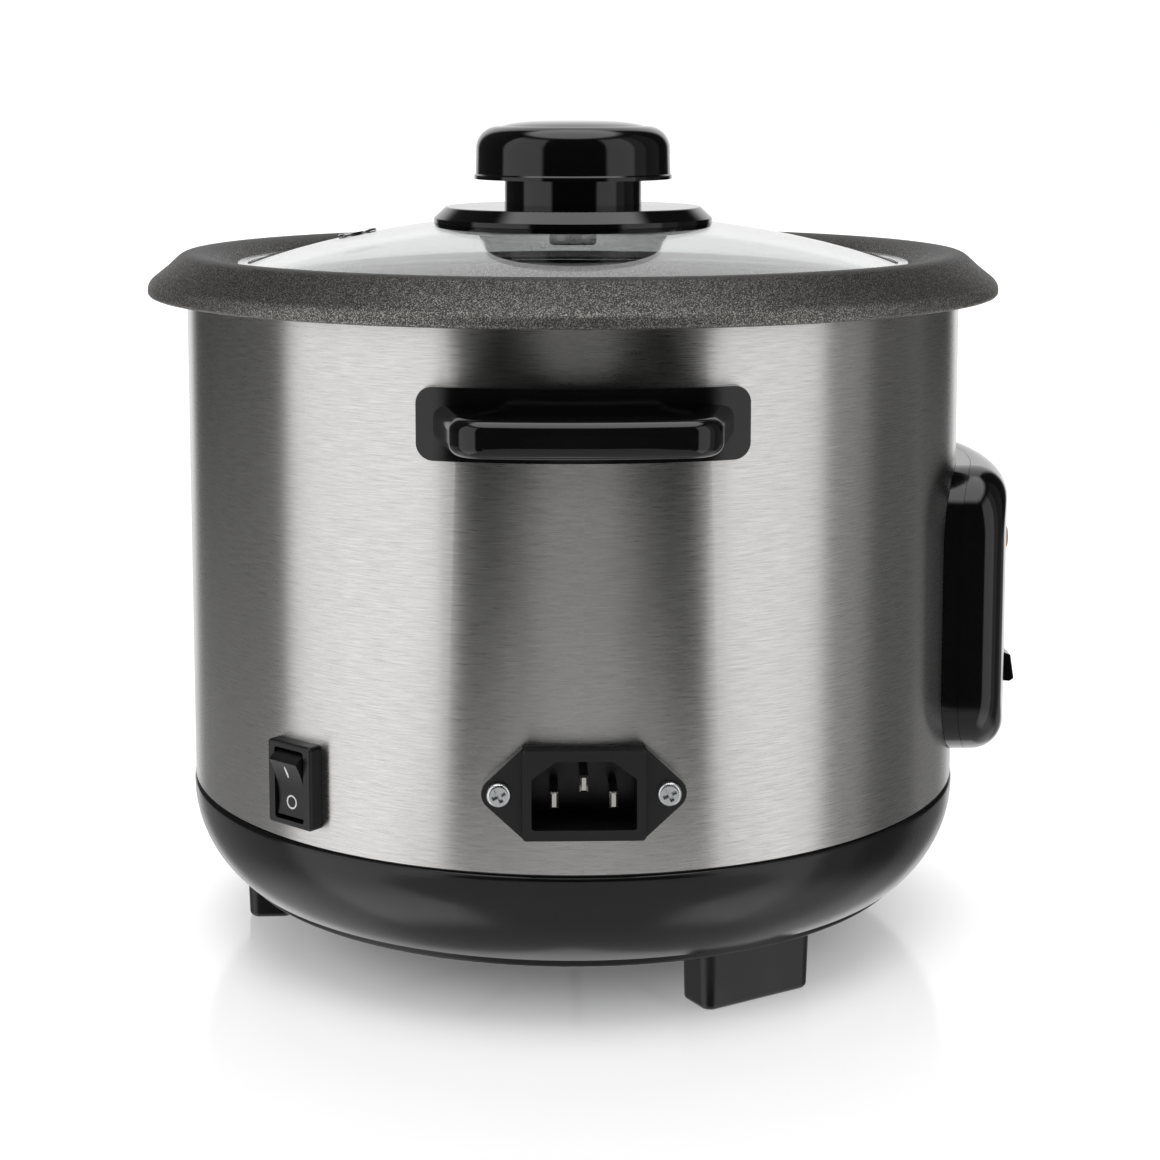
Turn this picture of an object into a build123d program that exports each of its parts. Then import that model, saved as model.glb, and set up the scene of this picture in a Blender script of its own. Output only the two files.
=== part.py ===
from build123d import *
from math import asin, atan2, cos, degrees, radians, sin, sqrt
import os

os.makedirs("parts", exist_ok=True)

# A one-litre drum rice cooker: a steel jacket on a plastic base, a heating plate and a
# magnetic thermostat under a lift-out pot, and a glass lid. Millimetres, +Z up. The origin
# is on the jacket's axis, level with the soles of the feet. The control panel faces -Y,
# the mains inlet faces -X, and the two handles are on -X and +X.

# Feet and base
foot_height = 14.7
foot_length = 33.0  # along the rim
foot_depth = 13.0  # towards the axis
foot_inset = 14.5  # jacket's outside to the foot's outer face
foot_corner = 3.0
foot_edge = 1.5
foot_draft = 2.0  # degrees
foot_angles = {"foot_rear": 90, "foot_left": 210, "foot_right": 330}
cover_thickness = 2.6
base_height = 24.1
base_wall = 2.2
base_proud = 0.3  # the base stands out past the jacket by this
base_curve_height = 22.0
base_shoulder = 1.3  # height of the rounding under the jacket's edge
base_tuck = 9.8  # how far the bowl draws in at its bottom
base_ledge = 19.0  # width of the floor ring that the cover is screwed to
tongue_height = 5.0  # the base's rim inside the jacket
lip_inset = 2.4  # the cover's edge sits this far inside the bowl's bottom
screw_r = 1.75
screw_head_r = 3.4
screw_head_height = 2.2
thread_gap = 0.05

# Jacket, liner and heating plate
jacket_r = 104.5
jacket_wall = 0.6
jacket_flange = 6.0  # width of the turned-in top edge
seam_gap = 0.5
mechanism_height = 34.45  # seam to the liner's floor
liner_inset = 8.5  # jacket's outside to the liner's inside
liner_wall = 0.6
liner_corner = 7.0
plate_rise = 17.1  # liner's floor to the top of the heating plate
plate_thickness = 7.7
plate_inset = 17.0  # pot's outside to the plate's rim
element_ring = 50.0
element_r = 3.6
element_gap_angle = 16.0  # half the open angle of the heating ring, degrees
element_leg = 13.0  # cold ends below the ring's centre
spacer_r = 4.0
spacer_inset = 9.0  # plate's rim to the spacers
plate_screw_r = 1.5

# Pot and lid
pot_depth = 89.4  # underside of the pot to the crest of its rim
pot_wall = 1.6
pot_side_gap = 6.4  # liner to pot
pot_corner = 12.0
rim_overhang = 10.5  # rim's edge past the jacket
rim_lip_drop = 1.8  # rim's rolled edge below the top of the jacket
rim_drop = 9.4  # crest of the rim above the top of the jacket
seat_drop = 8.6  # crest of the rim above the lid's seat
seat_width = 3.4
rest_gap = 0.3  # between pieces of different bodies that rest on each other
glass_thickness = 3.6
glass_rise = 9.6  # glass crown above the rim's crest
band_wall = 0.4
band_clearance = 0.2
glass_seat_gap = 0.01  # between the glass and the band's lower lip
vent_angle = 81.0
vent_ring = 60.2
vent_bore = 2.4
vent_r = 3.6
vent_flange_r = 5.4
vent_flange = 0.7
knob_flange_r = 38.0
knob_flange_rise = 2.0  # glass crown to the flange's top
knob_flange_edge = 3.2
knob_stem_r = 18.7
knob_stem_height = 7.5
knob_r = 27.0
knob_side = 8.2
knob_height = 15.7
knob_seat_r = 27.5
knob_seat_drop = 2.7
knob_screw_r = 2.0
knob_screw_head_r = 6.5
knob_screw_head = 2.8

# Thermostat and lever
cap_r = 15.5
plate_bore = cap_r + 1.0
cap_wall = 0.8
cap_height = 12.0
ferrite_thickness = 3.9
magnet_thickness = 5.5
magnet_gap = 4.8  # magnet to ferrite with the lever up
tube_r = cap_r - 5.0
ferrite_r = tube_r - 2.0
magnet_r = ferrite_r - 0.5
tube_wall = 1.0
tube_height = 11.0
rod_r = 2.6
collar_r = 6.0
collar_thickness = 1.6
spring_wire = 0.5  # radius
spring_turns = 5
bracket_wall = 0.75
bracket_width = 26.0
bracket_length = 78.0
ear_length = 14.0
pivot_y = -35.0
pivot_drop = 17.2  # liner's floor to the lever's pivot
pivot_r = 1.5
running_gap = 0.05
lever_wall = 1.2
lever_width = 14.0
lever_drop = 4.7  # pivot's centre to the strip's underside
lever_tail = 3.0  # the strip's end past the thermostat's axis
lever_rise = 12.2  # strip to the knob's centre
lever_bend = 16.0  # jacket's outside to the strip's upward bend
lever_knob_height = 9.0
lever_knob_width = 12.0
lever_knob_proud = 4.4
lever_travel = 7.0  # at the panel, downwards
contact_x = 15.0
blade_length = 33.0
blade_width = 7.0
blade_wall = 0.4
blade_gap = 3.9  # blade to the fixed arm with the lever up
rivet_r = 1.2

# Panel on the front
panel_width = 84.0
panel_height = 77.0
panel_drop = 8.25  # seam to the panel's bottom edge
panel_corner = 18.0
panel_frame_depth = 3.9
panel_cover_depth = 9.8
panel_edge = 8.6
panel_wall = 2.0
panel_frame_width = 5.0
panel_seam = 0.1
panel_screw_pitch = 59.4
panel_screw_r = 1.25
panel_boss_r = 3.0
lens_angle = 6.4
lens_r = 3.1
lens_drop = 21.5  # panel's top edge to the lamp windows

# Mains inlet, power switch and handles
inlet_height = 20.9  # seam to the inlet's centre
inlet_block_width = 29.0
inlet_block_height = 21.6
inlet_block_proud = 4.0
inlet_ear_proud = 1.8
inlet_screw_pitch = 40.0
inlet_ear_r = 4.1
inlet_body_width = inlet_block_width - 1.6
inlet_body_height = inlet_block_height - 1.6
inlet_depth = 21.0
recess_width = 24.7
recess_height = 16.5
recess_depth = 15.0
recess_chamfer_x = 5.7
recess_chamfer_y = 4.3
pin_pitch = 14.0
earth_rise = 4.0
pin_width = 2.0
pin_height = 4.0
pin_setback = 3.0
pin_chamfer = 0.5
tab_width = 6.3
tab_wall = 0.8
tab_length = 8.0
switch_angle = 138.6
switch_height = 15.8  # seam to the switch's centre
bezel_width = 15.0
bezel_height = 21.0
bezel_proud = 3.6
bezel_edge = 1.0
switch_body_width = bezel_width - 2.0
switch_body_height = bezel_height - 1.8
switch_depth = 18.0
rocker_width = 9.4
rocker_gap = 0.35
rocker_reach = 8.0  # pivot to the rocker's end
rocker_rest = 11.0  # tilt each side of level, degrees
rocker_pivot_depth = 3.2  # below the rocker's face
handle_width = 78.0
handle_height = 17.3
handle_drop = 24.7  # top of the jacket to the handle's centre
handle_corner = 4.0
handle_plate = 3.0
handle_reach = 27.0
handle_root = 71.0
handle_front = 59.0
handle_bar = 8.6
handle_bar_depth = 9.5
handle_edge = 2.8
handle_outer_corner = 9.0
handle_inner_corner = 5.0
handle_screw_pitch = 56.0

hole_gap = 0.15  # around a body that passes through the jacket

# Heights that follow from the stack
cover_gap = 0.15
cover_z = foot_height
base_z = cover_z + cover_thickness + cover_gap
seam_z = base_z + base_height
jacket_z = seam_z + seam_gap
liner_z = seam_z + mechanism_height
liner_top_z = liner_z + liner_wall
plate_top = liner_top_z + plate_rise
pot_z = plate_top + rest_gap
crest_z = pot_z + pot_depth
jacket_top = crest_z - rim_drop
seat_z = crest_z - seat_drop
glass_top = crest_z + glass_rise
band_z = seat_z + rest_gap

# Radii that follow from the jacket
base_r = jacket_r + base_proud
bowl_foot_r = base_r - base_tuck
cover_r = bowl_foot_r - lip_inset
jacket_in_r = jacket_r - jacket_wall
liner_r = jacket_r - liner_inset
pot_r = liner_r - pot_side_gap
pot_in_r = pot_r - pot_wall
seat_r = pot_in_r + seat_width
band_r = seat_r - 0.5
glass_r = band_r - band_wall - band_clearance
rim_r = jacket_r + rim_overhang
plate_r = pot_r - plate_inset
foot_r = jacket_r - foot_inset - foot_depth / 2
spacer_ring = plate_r - spacer_inset
panel_r = jacket_r + panel_frame_depth + panel_seam + panel_cover_depth
panel_split_r = jacket_r + panel_frame_depth
panel_screw_angle = degrees(asin(panel_screw_pitch / 2 / jacket_r))
panel_z = seam_z + panel_drop + panel_height / 2
inlet_z = seam_z + inlet_height
switch_z = seam_z + switch_height
handle_z = jacket_top - handle_drop
pivot_z = liner_z - pivot_drop
strip_z = pivot_z - lever_drop
knob_z = strip_z + lever_wall + lever_rise
plate_z = plate_top - plate_thickness
element_z = plate_z - element_r
lever_angle = lever_travel / (panel_r + pivot_y)  # radians
rod_travel = -pivot_y * sin(lever_angle)

glass_sag = glass_top - glass_thickness - (band_z + band_wall + glass_seat_gap)
glass_curve = (glass_r**2 + glass_sag**2) / (2 * glass_sag) + glass_thickness


def side_plane(angle, radius, height):
    """A plane facing away from the axis: its X runs sideways, its Y up."""
    a = radians(angle)
    origin = (radius * cos(a), radius * sin(a), height)
    return Plane(origin=origin, x_dir=(-sin(a), cos(a), 0), z_dir=(cos(a), sin(a), 0))


def glass_z(r, below=0.0):
    """Height of the glass's upper surface, or of a surface concentric with it, at radius r."""
    curve = glass_curve - below
    return glass_top - glass_curve + sqrt(curve**2 - r**2)


# ---------------------------------------------------------------- base shell
foot_planes = {
    name: Plane(
        origin=(foot_r * cos(radians(a)), foot_r * sin(radians(a)), 0),
        x_dir=(-sin(radians(a)), cos(radians(a)), 0),
        z_dir=(0, 0, 1),
    )
    for name, a in foot_angles.items()
}
ledge_in_r = bowl_foot_r - base_ledge
tongue_r = jacket_in_r - 0.1
boss_height = 11.0

with BuildPart() as base_shell:
    with BuildSketch(Plane.XZ):
        with BuildLine():
            bowl_top = base_z + base_curve_height
            TangentArc((base_r, bowl_top), (bowl_foot_r, base_z), tangent=(0, -1))
            Line((bowl_foot_r, base_z), (ledge_in_r, base_z))
            Line((ledge_in_r, base_z), (ledge_in_r, base_z + base_wall))
            Line((ledge_in_r, base_z + base_wall), (bowl_foot_r - 1.0, base_z + base_wall))
            inner_r = tongue_r - base_wall
            inner_foot = (bowl_foot_r - 1.0, base_z + base_wall)
            TangentArc((inner_r, bowl_top), inner_foot, tangent=(0, -1))
            Line((inner_r, bowl_top), (inner_r, seam_z + tongue_height))
            Line((inner_r, seam_z + tongue_height), (tongue_r, seam_z + tongue_height))
            Line((tongue_r, seam_z + tongue_height), (tongue_r, seam_z))
            shoulder_z = seam_z - base_shoulder
            TangentArc((base_r, shoulder_z), (tongue_r, seam_z), tangent=(0, 1))
            Line((base_r, shoulder_z), (base_r, bowl_top))
        make_face()
    revolve(axis=Axis.Z)
    for plane in foot_planes.values():
        with BuildSketch(plane.offset(base_z + base_wall - 0.2)):
            Circle(screw_r + 2.6)
        extrude(amount=boss_height)
    for plane in foot_planes.values():
        with BuildSketch(plane.offset(base_z)):
            Circle(screw_r + thread_gap)
        extrude(amount=base_wall + boss_height, mode=Mode.SUBTRACT)
base_shell.part.label = "base_shell"
export_step(base_shell.part, "parts/base_shell.step")

# ---------------------------------------------------------------- bottom cover
slot_ring = cover_r * 0.5
with BuildPart() as bottom_cover:
    with BuildSketch(Plane.XY.offset(cover_z)):
        Circle(cover_r)
    extrude(amount=cover_thickness)
    fillet(bottom_cover.edges().filter_by(GeomType.CIRCLE).group_by(Axis.Z)[0], 0.8)
    with BuildSketch(Plane.XY.offset(cover_z)):
        with PolarLocations(slot_ring, 12):
            SlotOverall(26, 3.2)
        with PolarLocations(slot_ring * 0.55, 6):
            SlotOverall(16, 3.2)
    extrude(amount=cover_thickness, mode=Mode.SUBTRACT)
    for plane in foot_planes.values():
        with BuildSketch(plane.offset(cover_z)):
            Circle(screw_r + 0.2)
        extrude(amount=cover_thickness, mode=Mode.SUBTRACT)
bottom_cover.part.label = "bottom_cover"
export_step(bottom_cover.part, "parts/bottom_cover.step")

# ---------------------------------------------------------------- three feet, a screw up each
screw_seat_z = 6.0
for name, plane in foot_planes.items():
    with BuildPart() as foot:
        with BuildSketch(plane):
            RectangleRounded(foot_length - 1.0, foot_depth - 1.0, foot_corner)
        extrude(amount=foot_height, taper=-foot_draft)
        fillet(foot.faces().sort_by(Axis.Z)[0].edges(), foot_edge)
        with BuildSketch(plane):
            Circle(screw_head_r + 0.4)
        extrude(amount=screw_seat_z, mode=Mode.SUBTRACT)
        with BuildSketch(plane):
            Circle(screw_r + 0.2)
        extrude(amount=foot_height, mode=Mode.SUBTRACT)
    foot.part.label = name
    export_step(foot.part, f"parts/{name}.step")

with BuildPart() as base_screws:
    for plane in foot_planes.values():
        with BuildSketch(plane.offset(screw_seat_z - screw_head_height)):
            Circle(screw_head_r)
        extrude(amount=screw_head_height)
        with BuildSketch(plane.offset(screw_seat_z)):
            Circle(screw_r)
        extrude(amount=base_z - screw_seat_z + boss_height - 1.0)
        with BuildSketch(plane.offset(screw_seat_z - screw_head_height)):
            Rectangle(3.8, 0.9)
            Rectangle(0.9, 3.8)
        extrude(amount=1.1, mode=Mode.SUBTRACT)
base_screws.part.label = "base_screws"
export_step(base_screws.part, "parts/base_screws.step")

# ---------------------------------------------------------------- steel jacket
window_width = 34.0
window_bottom = knob_z - 13.0
window_top = knob_z + 5.0
wire_window_z = panel_z + panel_height / 2 - lens_drop
handle_hole_angle = degrees(handle_screw_pitch / 2 / jacket_r)
handle_hole_angles = [side + turn * handle_hole_angle for side in (0, 180) for turn in (-1, 1)]

with BuildPart() as jacket:
    with BuildSketch(Plane.XZ):
        with BuildLine():
            Polyline(
                (jacket_r, jacket_z),
                (jacket_r, jacket_top),
                (jacket_r - jacket_flange, jacket_top),
                (jacket_r - jacket_flange, jacket_top - jacket_wall),
                (jacket_in_r, jacket_top - jacket_wall),
                (jacket_in_r, jacket_z),
                close=True,
            )
        make_face()
    revolve(axis=Axis.Z)
    with BuildSketch(side_plane(180, jacket_in_r - 8, inlet_z)):
        Rectangle(inlet_body_width + 2 * hole_gap, inlet_body_height + 2 * hole_gap)
        with GridLocations(inlet_screw_pitch, 0, 2, 1):
            Circle(screw_r)
    extrude(amount=20, mode=Mode.SUBTRACT)
    with BuildSketch(side_plane(switch_angle, jacket_in_r - 8, switch_z)):
        Rectangle(switch_body_width + 2 * hole_gap, switch_body_height + 2 * hole_gap)
    extrude(amount=20, mode=Mode.SUBTRACT)
    with BuildSketch(side_plane(270, jacket_in_r - 8, (window_bottom + window_top) / 2)):
        RectangleRounded(window_width, window_top - window_bottom, 3)
    extrude(amount=20, mode=Mode.SUBTRACT)
    with BuildSketch(side_plane(270, jacket_in_r - 8, wire_window_z)):
        RectangleRounded(window_width, 12, 3)
    extrude(amount=20, mode=Mode.SUBTRACT)
    for angle in (270 - panel_screw_angle, 270 + panel_screw_angle):
        with BuildSketch(side_plane(angle, jacket_in_r - 8, panel_z)):
            Circle(panel_screw_r + 0.3)
        extrude(amount=20, mode=Mode.SUBTRACT)
    for angle in handle_hole_angles:
        with BuildSketch(side_plane(angle, jacket_in_r - 8, handle_z)):
            Circle(screw_r + 0.2)
        extrude(amount=20, mode=Mode.SUBTRACT)
jacket.part.label = "jacket"
export_step(jacket.part, "parts/jacket.step")

# ---------------------------------------------------------------- liner inside the jacket
liner_bore = tube_r + 1.5
leg_angles = (90 - element_gap_angle, 90 + element_gap_angle)
spacer_angles = (30, 150, 270)
liner_seat = 0.05

with BuildPart() as inner_liner:
    with BuildSketch(Plane.XZ):
        with BuildLine():
            flange_z = jacket_top + liner_seat
            out_r = liner_r + liner_wall
            Line((liner_bore, liner_z), (out_r - liner_corner, liner_z))
            corner_end = (out_r, liner_z + liner_corner)
            TangentArc((out_r - liner_corner, liner_z), corner_end, tangent=(1, 0))
            Line((out_r, liner_z + liner_corner), (out_r, flange_z))
            Line((out_r, flange_z), (jacket_r - 0.5, flange_z))
            Line((jacket_r - 0.5, flange_z), (jacket_r - 0.5, flange_z + liner_wall))
            Line((jacket_r - 0.5, flange_z + liner_wall), (liner_r, flange_z + liner_wall))
            Line((liner_r, flange_z + liner_wall), (liner_r, liner_z + liner_corner))
            TangentArc(
                (liner_r, liner_z + liner_corner),
                (out_r - liner_corner, liner_top_z),
                tangent=(0, -1),
            )
            Line((out_r - liner_corner, liner_top_z), (liner_bore, liner_top_z))
            Line((liner_bore, liner_top_z), (liner_bore, liner_z))
        make_face()
    revolve(axis=Axis.Z)
    with BuildSketch(Plane.XY.offset(liner_z)):
        for angle in leg_angles:
            with PolarLocations(element_ring, 1, start_angle=angle):
                Circle(element_r + 1.8)
        for angle in spacer_angles:
            with PolarLocations(spacer_ring, 1, start_angle=angle):
                Circle(plate_screw_r + 0.2)
    extrude(amount=liner_wall, mode=Mode.SUBTRACT)
inner_liner.part.label = "inner_liner"
export_step(inner_liner.part, "parts/inner_liner.step")

# ---------------------------------------------------------------- heating plate and its ring
rib_bottom = element_z - element_r + 1.0
with BuildPart() as heating_plate:
    with BuildSketch(Plane.XZ):
        with BuildLine():
            Polyline(
                (plate_bore, plate_z),
                (element_ring - 7.5, plate_z),
                (element_ring - 6.5, rib_bottom),
                (element_ring + 6.5, rib_bottom),
                (element_ring + 7.5, plate_z),
                (plate_r - 3.0, plate_z),
                (plate_r, plate_z + 3.0),
                (plate_r, plate_top - 2.5),
                (plate_r - 5.0, plate_top),
                (plate_bore, plate_top),
                close=True,
            )
        make_face()
    revolve(axis=Axis.Z)
    with BuildSketch(Plane.XZ):
        groove_r = element_r + thread_gap
        with Locations((element_ring, element_z)):
            Circle(groove_r)
        with Locations((element_ring, element_z - groove_r)):
            Rectangle(2 * groove_r, 2 * groove_r)
    revolve(axis=Axis.Z, mode=Mode.SUBTRACT)
    with BuildSketch(Plane.XY.offset(plate_z)):
        for angle in spacer_angles:
            with PolarLocations(spacer_ring, 1, start_angle=angle):
                Circle(plate_screw_r + thread_gap)
    extrude(amount=plate_thickness - 2.5, mode=Mode.SUBTRACT)
heating_plate.part.label = "heating_plate"
export_step(heating_plate.part, "parts/heating_plate.step")

ring_start = radians(90 + element_gap_angle)
ring_plane = Plane(
    origin=(0, 0, 0),
    x_dir=(cos(ring_start), sin(ring_start), 0),
    z_dir=(sin(ring_start), -cos(ring_start), 0),
)
with BuildPart() as heating_element:
    with BuildSketch(ring_plane):
        with Locations((element_ring, element_z)):
            Circle(element_r)
    revolve(axis=Axis.Z, revolution_arc=360 - 2 * element_gap_angle)
    with BuildSketch(Plane.XY.offset(element_z - element_leg)):
        for angle in leg_angles:
            with PolarLocations(element_ring, 1, start_angle=angle):
                Circle(element_r)
    extrude(amount=element_leg)
    for angle in leg_angles:
        with BuildSketch(Plane.XY.offset(element_z - element_leg - tab_length)):
            with PolarLocations(element_ring, 1, start_angle=angle):
                Rectangle(tab_wall, tab_width)
        extrude(amount=tab_length)
heating_element.part.label = "heating_element"
export_step(heating_element.part, "parts/heating_element.step")

with BuildPart() as plate_spacers:
    with BuildSketch(Plane.XY.offset(liner_top_z)):
        for angle in spacer_angles:
            with PolarLocations(spacer_ring, 1, start_angle=angle):
                Circle(spacer_r)
                Circle(plate_screw_r + 0.1, mode=Mode.SUBTRACT)
    extrude(amount=plate_z - liner_top_z)
plate_spacers.part.label = "plate_spacers"
export_step(plate_spacers.part, "parts/plate_spacers.step")

with BuildPart() as plate_screws:
    for angle in spacer_angles:
        with BuildSketch(Plane.XY.offset(liner_z - 2.0)):
            with PolarLocations(spacer_ring, 1, start_angle=angle):
                Circle(2.9)
        extrude(amount=2.0)
        with BuildSketch(Plane.XY.offset(liner_z)):
            with PolarLocations(spacer_ring, 1, start_angle=angle):
                Circle(plate_screw_r)
        extrude(amount=plate_z - liner_z + plate_thickness - 3.5)
plate_screws.part.label = "plate_screws"
export_step(plate_screws.part, "parts/plate_screws.step")

# ---------------------------------------------------------------- thermostat
tube_base = liner_z + liner_seat
tube_lip_z = liner_top_z + liner_seat
tube_lip_r = tube_r + 3.4
with BuildPart() as thermostat_tube:
    with BuildSketch(Plane.XY.offset(tube_base)):
        Circle(tube_r)
        Circle(tube_r - tube_wall, mode=Mode.SUBTRACT)
    extrude(amount=tube_height)
    with BuildSketch(Plane.XY.offset(tube_lip_z)):
        Circle(tube_lip_r)
        Circle(tube_r - tube_wall, mode=Mode.SUBTRACT)
    extrude(amount=0.8)
thermostat_tube.part.label = "thermostat_tube"
export_step(thermostat_tube.part, "parts/thermostat_tube.step")

cap_bottom = plate_top - cap_height
with BuildPart() as sensor_cap:
    with BuildSketch(Plane.XY.offset(cap_bottom)):
        Circle(cap_r)
    extrude(amount=cap_height)
    fillet(sensor_cap.faces().sort_by(Axis.Z)[-1].edges(), 1.2)
    with BuildSketch(Plane.XY.offset(cap_bottom)):
        Circle(cap_r - cap_wall)
    extrude(amount=cap_height - cap_wall, mode=Mode.SUBTRACT)
sensor_cap.part.label = "sensor_cap"
export_step(sensor_cap.part, "parts/sensor_cap.step")

ferrite_z = plate_top - cap_wall - ferrite_thickness
with BuildPart() as sensor_ferrite:
    with BuildSketch(Plane.XY.offset(ferrite_z)):
        Circle(ferrite_r)
    extrude(amount=ferrite_thickness)
    chamfer(sensor_ferrite.faces().sort_by(Axis.Z)[0].edges(), 0.5)
sensor_ferrite.part.label = "sensor_ferrite"
export_step(sensor_ferrite.part, "parts/sensor_ferrite.step")

collar_z = strip_z + lever_wall + 0.4
rod_bottom = strip_z - 4.0
magnet_z = ferrite_z - magnet_gap - magnet_thickness
with BuildPart() as magnet_rod:
    with BuildSketch(Plane.XY.offset(rod_bottom)):
        Circle(rod_r)
    extrude(amount=magnet_z - rod_bottom)
    with BuildSketch(Plane.XY.offset(collar_z)):
        Circle(collar_r)
    extrude(amount=collar_thickness)
    with BuildSketch(Plane.XY.offset(rod_bottom)):
        Circle(collar_r - 1.0)
    extrude(amount=collar_thickness)
magnet_rod.part.label = "magnet_rod"
export_step(magnet_rod.part, "parts/magnet_rod.step")

with BuildPart() as magnet:
    with BuildSketch(Plane.XY.offset(magnet_z)):
        Circle(magnet_r)
    extrude(amount=magnet_thickness)
    chamfer(magnet.edges().filter_by(GeomType.CIRCLE), 0.4)
magnet.part.label = "magnet"
export_step(magnet.part, "parts/magnet.step")


def coil_spring(bottom, top, radius, wire, turns):
    """A round-wire coil between two heights."""
    height = top - bottom - 2 * wire
    with BuildPart() as coil:
        with BuildLine():
            start = (0, 0, bottom + wire)
            path = Helix(pitch=height / turns, height=height, radius=radius, center=start)
        with BuildSketch(Plane(origin=path @ 0, z_dir=path % 0)):
            Circle(wire)
        sweep(path=path, is_frenet=True)
    return coil.part


sensor_spring = coil_spring(
    tube_lip_z + 0.85, plate_top - cap_wall - 0.05, tube_r + 2.1, spring_wire, spring_turns
)
sensor_spring.label = "sensor_spring"
export_step(sensor_spring, "parts/sensor_spring.step")

bracket_z = liner_z - bracket_wall
magnet_spring = coil_spring(
    collar_z + collar_thickness + 0.05, bracket_z - 0.05, rod_r + 1.6, spring_wire, spring_turns
)
magnet_spring.label = "magnet_spring"
export_step(magnet_spring, "parts/magnet_spring.step")

# ---------------------------------------------------------------- bracket, pivot and lever
ear_bottom = pivot_z - 4.0
ear_x = bracket_width / 2 - bracket_wall
rear_y = bracket_length / 2 - 12
with BuildPart() as lever_bracket:
    with BuildSketch(Plane.XY.offset(bracket_z)):
        with Locations((0, rear_y - bracket_length / 2)):
            Rectangle(bracket_width, bracket_length)
        Circle(rod_r + 0.4, mode=Mode.SUBTRACT)
    extrude(amount=bracket_wall)
    for x in (-ear_x - bracket_wall, ear_x):
        with BuildSketch(Plane.YZ.offset(x)):
            with Locations((pivot_y, (ear_bottom + bracket_z) / 2)):
                Rectangle(ear_length, bracket_z - ear_bottom)
            with Locations((pivot_y, pivot_z)):
                Circle(pivot_r, mode=Mode.SUBTRACT)
        extrude(amount=bracket_wall)
lever_bracket.part.label = "lever_bracket"
export_step(lever_bracket.part, "parts/lever_bracket.step")

with BuildPart() as pivot_pin:
    with BuildSketch(Plane.YZ.offset(-ear_x - bracket_wall - 1.0)):
        with Locations((pivot_y, pivot_z)):
            Circle(pivot_r)
    extrude(amount=2 * (ear_x + bracket_wall + 1.0))
pivot_pin.part.label = "pivot_pin"
export_step(pivot_pin.part, "parts/pivot_pin.step")

bend_y = -(jacket_r - lever_bend)
shelf_z = knob_z - lever_wall / 2
knob_back_y = -(jacket_r + 1.0)
tab_y = -10.0
tab_reach = contact_x - 2.0
with BuildPart() as cook_lever:
    with BuildSketch(Plane.XY.offset(strip_z)):
        with Locations((0, (lever_tail + bend_y) / 2)):
            Rectangle(lever_width, lever_tail - bend_y)
        with Locations((0, lever_tail - 5.5)):
            Rectangle(2 * rod_r + 1.8, 11.0, mode=Mode.SUBTRACT)
        with Locations((tab_reach / 2, tab_y)):
            Rectangle(tab_reach, 4.0)
    extrude(amount=lever_wall)
    for x in (-lever_width / 2, lever_width / 2 - lever_wall):
        with BuildSketch(Plane.YZ.offset(x)):
            with Locations((pivot_y, strip_z + (lever_drop + 4.0) / 2)):
                Rectangle(9.0, lever_drop + 4.0)
            with Locations((pivot_y, pivot_z)):
                Circle(pivot_r + running_gap, mode=Mode.SUBTRACT)
        extrude(amount=lever_wall)
    with BuildSketch(Plane.YZ.offset(-lever_width / 2)):
        with Locations((bend_y + lever_wall / 2, (strip_z + shelf_z + lever_wall) / 2)):
            Rectangle(lever_wall, shelf_z + lever_wall - strip_z)
        with Locations(((bend_y + knob_back_y - 6.0) / 2, knob_z)):
            Rectangle(bend_y - knob_back_y + 6.0, lever_wall)
    extrude(amount=lever_width)
    with BuildSketch(Plane.XY.offset(shelf_z)):
        for side in (-1, 1):
            with Locations((side * lever_width / 2, knob_back_y - 3.0)):
                Rectangle(lever_width - 8.0, 6.1)
    extrude(amount=lever_wall, mode=Mode.SUBTRACT)
cook_lever.part.label = "cook_lever"
export_step(cook_lever.part, "parts/cook_lever.step")

knob_front_y = -(panel_r + lever_knob_proud)
with BuildPart() as lever_knob:
    with BuildSketch(Plane.YZ.offset(-lever_knob_width / 2)):
        with BuildLine():
            Polyline(
                (knob_back_y, knob_z - 2.6),
                (knob_back_y, knob_z + 2.6),
                (knob_front_y + 5.0, knob_z + lever_knob_height / 2),
                (knob_front_y + 1.0, knob_z + lever_knob_height / 2 - 1.6),
                (knob_front_y, knob_z - lever_knob_height / 2 + 0.8),
                (knob_front_y + 1.2, knob_z - lever_knob_height / 2),
                (knob_front_y + 7.0, knob_z - lever_knob_height / 2 + 0.4),
                close=True,
            )
        make_face()
    extrude(amount=lever_knob_width)
    fillet(lever_knob.faces().sort_by(Axis.Y)[0].edges(), 0.4)
    with BuildSketch(Plane.XZ.offset(-knob_back_y)):
        with Locations((0, knob_z)):
            Rectangle(8.0 + 0.1, lever_wall + 0.1)
    extrude(amount=6.1, mode=Mode.SUBTRACT)
lever_knob.part.label = "lever_knob"
export_step(lever_knob.part, "parts/lever_knob.step")

# ---------------------------------------------------------------- contacts that the lever works
blade_z = strip_z - 0.3 - blade_wall
block_y = tab_y + 23.0
block_size = 12.0
arm_x = contact_x + blade_width / 2 - 3.0
arm_z = blade_z + blade_wall + blade_gap
rivet_y = block_y - blade_length + 5.0
with BuildPart() as contact_block:
    with BuildSketch(Plane.XY.offset(blade_z - 3.0)):
        with Locations((contact_x, block_y + block_size / 2)):
            RectangleRounded(block_size, block_size, 1.0)
    extrude(amount=bracket_z - 0.05 - blade_z + 3.0)
contact_block.part.label = "contact_block"
export_step(contact_block.part, "parts/contact_block.step")

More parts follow.
